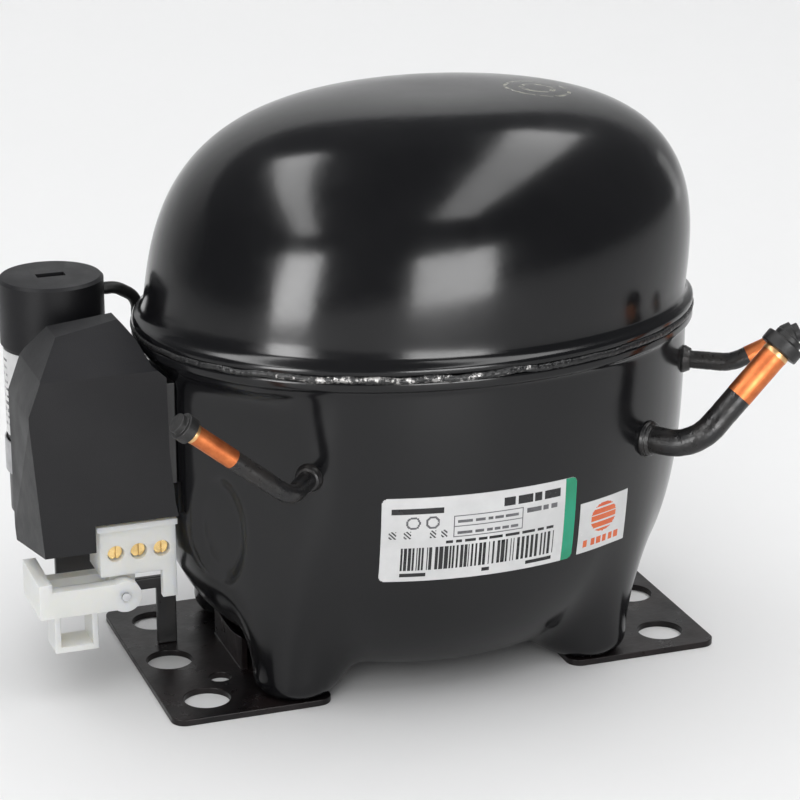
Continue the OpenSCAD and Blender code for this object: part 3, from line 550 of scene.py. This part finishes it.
def weld_bead():
    """The seam's bead, rippled all round and rougher along the front."""
    cols, sides = 1400, 14
    roughest, reach = math.radians(252), 0.5
    a = np.linspace(0, 2 * math.pi, cols, endpoint=False)
    ripple = waves(a, (31, 57, 93, 151, 233))
    wander = waves(a, (5, 9, 14, 23, 41))
    front = np.exp(-(((a - roughest + math.pi) % (2 * math.pi) - math.pi) / reach) ** 2)
    crumbs = np.abs(rng.normal(0, 1, cols)) * front
    radius = 1.15 + 0.07 * ripple / 2 + 0.06 * front * ripple + 0.13 * crumbs
    height = (RIM_Z + DOME_Z) / 2 + 0.12 * wander + 0.14 * front * wander
    verts = []
    for j in range(cols):
        rr = min(radius[j], 1.4)
        for k in range(sides):
            b = 2 * math.pi * k / sides
            out = min(OUT_A - 1.45 + rr * math.cos(b), OUT_A - 0.05)
            verts.append((CX + out * math.cos(a[j]), CY + out * OUT_B / OUT_A * math.sin(a[j]),
                          height[j] + rr * math.sin(b)))
    faces = rings_to_faces(cols, sides, closed_rows=True)
    add_piece("weld_bead", verts, faces, "shell", ["weld_seam"], "weld_steel")


lower_shell()
upper_shell()
weld_bead()


# ---------- Labels ----------


def skin_y(x, z):
    """The front skin's Y under each point of a label."""
    start = np.column_stack([x, np.full_like(x, CY - BOWL_B - 8), z])
    end = np.column_stack([x, np.full_like(x, CY - 20), z])
    f = root(bowl_field, start, end, 120)
    return start[:, 1] + (end[:, 1] - start[:, 1]) * f


def label(name, node, paint, mats, cell=0.34, corner=2.2, lift=0.22):
    """A film on the front skin, cut into cells that paint gives a material each."""
    margin, sink = 0.3, 0.3
    lo, hi = box_mm(node)
    w, h = hi[0] - lo[0] - 2 * margin, hi[2] - lo[2] - 2 * margin
    nx, nz = int(w / cell), int(h / cell)
    u, v = np.meshgrid(np.linspace(0, w, nx + 1), np.linspace(0, h, nz + 1))
    x, z = lo[0] + margin + u.ravel(), lo[2] + margin + v.ravel()
    y = skin_y(x, z)
    front = np.column_stack([x, y - lift, z])
    back = np.column_stack([x, y + sink, z])
    n = len(front)
    kept = {}
    for i in range(nz):
        for j in range(nx):
            cu, cv = (j + 0.5) * w / nx, (i + 0.5) * h / nz
            du = max(corner - cu, cu - (w - corner), 0)
            dv = max(corner - cv, cv - (h - corner), 0)
            if math.hypot(du, dv) <= corner:
                kept[i, j] = paint(cu, cv, w, h)
    # the four neighbours of a cell, each with the two corners of the edge between them
    sides = (((-1, 0), (0, 1)), ((0, 1), (1, 2)), ((1, 0), (2, 3)), ((0, -1), (3, 0)))
    faces, kinds = [], []
    for (i, j), kind in kept.items():
        a = i * (nx + 1) + j
        quad = (a, a + 1, a + nx + 2, a + nx + 1)
        faces += [quad, tuple(k + n for k in quad[::-1])]
        kinds += [kind, 0]
        for (di, dj), (p, q) in sides:
            if (i + di, j + dj) not in kept:
                faces.append((quad[q], quad[p], quad[p] + n, quad[q] + n))
                kinds.append(0)
    add_piece(name, np.vstack([front, back]), faces, "shell", [node], "label_film", mats, kinds,
              smooth=False)


def stripes(length, low, high, gap):
    """Seeded marks along a line: pairs of start and end."""
    marks, at = [], 0.0
    while at < length:
        end = at + random.uniform(low, high)
        marks.append((at, min(end, length)))
        at = end + random.uniform(*gap)
    return marks


BARS = stripes(54, 0.34, 1.3, (0.34, 1.0))
DASHES = [stripes(40, 1.6, 5.5, (0.6, 1.2)) for _ in range(12)]


def in_marks(at, marks):
    return any(a <= at <= b for a, b in marks)


def rating_paint(u, v, w, h):
    """0 film, 1 black, 2 grey, 3 green; u and v run in mm from the label's lower left."""
    # band at the right-hand end
    if u > w - 4.4:
        return 3
    # a long bar and a row of bold bars along the top
    if 25.0 < v < 27.2 and 3 < u < 20:
        return 1
    if 25.2 < v < 28.2 and in_marks(u - 41, [(0, 4.2), (5, 10.4), (11.2, 14), (15, 21)]):
        return 1
    # pattern of upright bars
    if 4.2 < v < 12.8 and 6.5 < u < 61:
        return 1 if in_marks(u - 6.5, BARS) else 0
    # two rings, and four hatched marks below them
    for cu in (10.2, 16.6):
        if abs(math.hypot(u - cu, v - 21.8) - 2.0) < 0.34:
            return 2
    for cu, half in ((3.6, 1.1), (8.4, 1.2), (16.6, 1.0), (20.6, 1.0)):
        if abs(u - cu) < half and abs(v - 17.6) < 1.4:
            return 1 if (u - cu + v) % 1.4 < 0.8 else 0
    # ruled box with two rows of dashes, and one more row beside it
    if 23.5 < u < 62 and 15.8 < v < 23.6:
        if u < 48 and (min(u - 23.5, 48 - u, v - 15.8, 23.6 - v) < 0.36 or abs(v - 19.6) < 0.18):
            return 2
        if u > 49.5 and abs(v - 22.2) < 0.8:
            return 2 if in_marks(u - 49.5, DASHES[1]) else 0
        for row, level in enumerate((17.4, 21.5)):
            if abs(v - level) < 0.55 and 25 < u < 46.5:
                return 2 if in_marks(u - 25, DASHES[row + 2]) else 0
        return 0
    # a row of dashes above the upright bars, and short bars below them
    if abs(v - 14.2) < 0.45 and 21 < u < 60:
        return 1 if in_marks(u - 21, DASHES[4]) else 0
    if abs(v - 2.4) < 0.6 and (6.5 < u < 15 or 34 < u < 37 or 50 < u < 60):
        return 1
    return 0


def refrigerant_paint(u, v, w, h):
    """0 film, 1 orange: a plain banded disc over a line of marks."""
    du, dv = u - w / 2, v - h * 0.63
    if math.hypot(du, dv) < 5.6:
        return 0 if 0.9 < (dv % 2.6) < 1.5 else 1
    if abs(v - h * 0.17) < 1.3 and abs(du) < 8:
        marks = [(0, 1.7), (3.2, 4.9), (5.7, 7.5), (8.3, 10.1), (10.9, 12.7), (13.5, 15.6)]
        return 1 if in_marks(du + 8, marks) else 0
    return 0


def can_paint(u, v):
    """0 film, 2 grey: rows of small marks round the capacitor."""
    pitch, repeat, filled = 2.6, 34, 24
    row = int(v / pitch)
    if 0 < row < 11 and abs(v % pitch - pitch / 2) < 0.5 and u % repeat < filled:
        return 2 if in_marks(u % repeat, DASHES[row]) else 0
    return 0


def can_label():
    """The sleeve round the capacitor, with marks on its outer face."""
    lo, hi = box_mm("capacitor_label")
    radius, height = (hi[0] - lo[0]) / 2, hi[2] - lo[2]
    cx, cy = (lo[0] + hi[0]) / 2, (lo[1] + hi[1]) / 2
    cols, rows = 220, 70
    verts = []
    for r in (radius, radius - 0.2):
        for i in range(rows + 1):
            for j in range(cols):
                a = 2 * math.pi * j / cols
                z = lo[2] + height * i / rows
                verts.append((cx + r * math.cos(a), cy + r * math.sin(a), z))
    faces = rings_to_faces(rows + 1, cols)
    n = (rows + 1) * cols
    kinds = []
    for f in faces:
        row, col = divmod(f[0], cols)
        kinds.append(can_paint(col * 2 * math.pi * radius / cols, (row + 0.5) * height / rows))
    faces += [tuple(v + n for v in f[::-1]) for f in faces]
    for i in (0, rows):
        ring = [(i * cols + j, i * cols + (j + 1) % cols) for j in range(cols)]
        faces += [(b, a, a + n, b + n) if i == 0 else (a, b, b + n, a + n) for a, b in ring]
    kinds += [0] * (len(faces) - len(kinds))
    obj = add_piece("can_sleeve", verts, faces, "shell", ["capacitor_label"], "label_film",
                    [FILM, INK, GREY_INK], kinds)
    smooth_by_angle(obj, SMOOTH_DEGREES)


FILM = MATERIALS["label_film"]
label("rating_plate", "rating_label", rating_paint, [FILM, INK, GREY_INK, GREEN])
label("refrigerant_mark", "refrigerant_label", refrigerant_paint, [FILM, ORANGE], corner=0.5)
can_label()


# ---------- Tubes ----------


def unit(v):
    return v / np.linalg.norm(v)


def rounded_route(points, bend, step=0.8):
    """Dense points along a bent line whose corners are arcs."""
    p = [np.array(q, float) for q in points]
    out = []
    start = p[0]
    for q, s in zip(p[1:-1], p[2:]):
        u, v = unit(q - start), unit(s - q)
        turn = math.acos(np.clip(u @ v, -1, 1))
        back = bend * math.tan(turn / 2)
        a = q - u * back
        count = max(int(np.linalg.norm(a - start) / step), 2)
        out += [start + (a - start) * i / count for i in range(count)]
        side = unit(v - (u @ v) * u)
        centre = a + side * bend
        arcs = max(int(bend * turn / step), 8)
        for i in range(arcs):
            angle = turn * i / arcs
            out.append(centre - side * bend * math.cos(angle) + u * bend * math.sin(angle))
        start = q + v * back
    count = max(int(np.linalg.norm(p[-1] - start) / step), 2)
    out += [start + (p[-1] - start) * i / count for i in range(count + 1)]
    return out


def lumpy(count, radius, amount):
    """Radii along a painted tube, with thick paint gathered here and there."""
    at = np.linspace(0, 1, count)
    swells = sum(np.sin(k * 6.28 * at + rng.uniform(0, 6.28)) for k in (2, 5, 9, 14))
    return radius + amount * (swells / 4 - 1)


def tube(kind, route, bend, radius, bare):
    """One connection: painted tube, copper tail with a bright end, and the weld round its root."""
    route = [np.array(q, float) for q in route]
    inside, before, end = route
    cut = end + unit(before - end) * bare
    path = rounded_route([inside, before, cut], bend)
    sweep(kind + "_pipe", path, lumpy(len(path), radius, 0.09), "shell", [kind + "_tube"],
          "tube_paint", start_cap=False)
    # a bead near the open end, and the bare rim from there on
    count, bead, rim = 25, (22, 23), 21
    tail = [cut + (end - cut) * i / (count - 1) for i in range(count)]
    radii = [radius - 0.03 + (0.12 if i in bead else 0.0) for i in range(count)]
    sweep(kind + "_end", tail, radii, "shell", [kind + "_tail"], "copper",
          start_cap=False, end_cap=False, mats=[MATERIALS["copper"], MATERIALS["copper_rim"]],
          pick=lambda i: 1 if i > rim else 0)
    inward = unit(inside - before)
    line = before + inward * np.linspace(0, np.linalg.norm(inside - before), 400)[:, None]
    depth = bowl_field(line[:, 0], line[:, 1], line[:, 2])
    root_at = line[np.argmax(depth < 0)]
    reach = 2.6
    places = np.linspace(-2.0, reach, 16)
    collar = [root_at - inward * d for d in places]
    swell = [radius + 0.05 + 1.5 * math.cos(math.radians(78 * (d - 0.2) / reach))
             + rng.uniform(-0.12, 0.12) for d in places]
    sweep(kind + "_root", collar, swell, "shell", [], "shell_paint", mats=[MATERIALS["tube_paint"]])


# Each route is the one in the CAD: inside the shell, the corner, the open end
tube("suction", [(61.5, -51.5, 86), (77.5, -73, 86.5), (107, -73.5, 117.5)], 16, 4.75, 20)
tube("discharge", [(-51.5, -55.5, 88), (-66.5, -75.5, 88), (-100, -79, 115.5)], 9, 3.25, 18)
tube("process", [(84, -30.5, 105), (105, -43.4, 104.5), (122.5, -48.5, 113)], 14, 3.25, 14)

# ---------- Rounded CAD pieces ----------

# Node: width of its rounded edges, number of segments
ROUNDED = {
    "suction_plug": (0.5, 3), "discharge_plug": (0.4, 3), "process_plug": (0.4, 3),
    "left_foot": (0.5, 3), "right_foot": (0.5, 3),
    "terminal_cover": (1.1, 4), "terminal_board": (0.6, 3), "cord_clamp": (0.9, 4),
    "capacitor_cap": (0.6, 3), "capacitor_bracket": (0.5, 3), "capacitor_can": (0.4, 2),
    "capacitor_clip": (0.4, 2), "terminal_fence": (0.4, 2), "start_relay": (0.4, 2),
    "overload_protector": (0.4, 2),
}
for node, (width, segments) in ROUNDED.items():
    soften(node, width, segments)


# ---------- Camera, lights and room ----------


def area(name, at, aim, width, height, power):
    data = bpy.data.lights.new(name, "AREA")
    data.shape = "RECTANGLE"
    data.size, data.size_y = width, height
    data.energy = power
    obj = bpy.data.objects.new(name, data)
    bpy.context.scene.collection.objects.link(obj)
    obj.location = at
    obj.rotation_euler = (Vector(aim) - Vector(at)).to_track_quat("-Z", "Y").to_euler()
    return obj


def softbox(name, azimuth, elevation, distance, width, height, radiance):
    """A light seen only in reflections, placed round the shell.

    Azimuth 0 is in front of the labels, and 90 is at the suction end.
    """
    a, e = math.radians(azimuth), math.radians(elevation)
    aim = Vector((0, 0, 0.12))
    way = Vector((math.sin(a) * math.cos(e), -math.cos(a) * math.cos(e), math.sin(e)))
    obj = area(name, aim + distance * way, aim, width, height, radiance * math.pi * width * height)
    obj.visible_camera = False
    obj.visible_diffuse = False


def strip(name, start, end, width, radiance):
    """A long overhead light seen only in reflections, between two points at the same height."""
    p, q = Vector(start), Vector(end)
    length, middle = (q - p).length, (p + q) / 2
    below = middle - Vector((0, 0, 1))
    obj = area(name, middle, below, length, width, radiance * math.pi * length * width)
    obj.rotation_euler = (0, 0, math.atan2(q.y - p.y, q.x - p.x))
    obj.visible_camera = False
    obj.visible_diffuse = False


def room():
    """A pale floor that curves up into a back wall."""
    mesh = bpy.data.meshes.new("backdrop")
    half, front, back, rise, curve = 7.0, -7.0, 2.6, 2.0, 0.8
    rows = [(front, 0.0), (back - curve, 0.0)]
    for degrees in range(10, 91, 10):
        a = math.radians(degrees)
        rows.append((back - curve + curve * math.sin(a), curve - curve * math.cos(a)))
    rows += [(back, rise)]
    verts = [(x, y, z) for y, z in rows for x in (-half, half)]
    faces = [(2 * i, 2 * i + 1, 2 * i + 3, 2 * i + 2) for i in range(len(rows) - 1)]
    mesh.from_pydata(verts, [], faces)
    mesh.polygons.foreach_set("use_smooth", [True] * len(faces))
    mesh.materials.append(material("room_paint", (0.88, 0.88, 0.88), (0.55, 0.7), (0.87, 0.87, 0.87),
                                   patch=1, grain=90, depth=0.0001))
    obj = bpy.data.objects.new("backdrop", mesh)
    bpy.context.scene.collection.objects.link(obj)


def surroundings():
    """Dim in reflections, to keep the paint black, and pale where the camera sees past the floor."""
    in_reflections, behind_floor = 0.17, 0.9
    world = bpy.context.scene.world or bpy.data.worlds.new("world")
    bpy.context.scene.world = world
    world.use_nodes = True
    t = world.node_tree
    shader = t.nodes["Background"]
    shader.inputs["Color"].default_value = (0.95, 0.97, 1.0, 1)
    seen = t.nodes.new("ShaderNodeLightPath").outputs["Is Camera Ray"]
    strength = spread(t, seen, 0, 1, in_reflections, behind_floor)
    t.links.new(strength, shader.inputs["Strength"])


room()
surroundings()
strip("left_strip", (-2.2, -1.5, 1.75), (-0.45, 0.9, 1.75), 0.45, 7.5)
strip("right_strip", (0.2, -2.1, 1.75), (1.15, 0.95, 1.75), 0.6, 5.0)
softbox("low_left", -53, 7, 1.5, 0.42, 0.75, 16.0)
softbox("low_right", 4, 2, 1.5, 0.7, 0.75, 12.0)
softbox("rim", 117, -2, 1.6, 0.25, 0.9, 0.7)
fills = (
    area("fill", (0.0, 0.0, 3.2), (0, 0, 0), 5.0, 5.0, 135),
    area("front_fill", (-0.8, -1.9, 1.3), (0, 0, 0.1), 1.5, 1.5, 16),
)
for fill in fills:
    fill.visible_camera = False
    fill.visible_glossy = False

camera_data = bpy.data.cameras.new("camera")
camera = bpy.data.objects.new("camera", camera_data)
bpy.context.scene.collection.objects.link(camera)
right = Vector((0.9412, -0.3379, 0.0)).normalized()
back = Vector((-0.3187, -0.8880, 0.3315))
back = (back - right * back.dot(right)).normalized()
up = back.cross(right)
turn = Matrix((right, up, back)).transposed()
camera.matrix_world = Matrix.Translation((-0.3101, -0.8622, 0.4038)) @ turn.to_4x4()
camera_data.lens = 123.5
camera_data.sensor_width = 36
camera_data.shift_x = -0.0058
camera_data.shift_y = 0.0233
camera_data.clip_end = 20
bpy.context.scene.camera = camera
bpy.context.scene.view_settings.view_transform = "Standard"
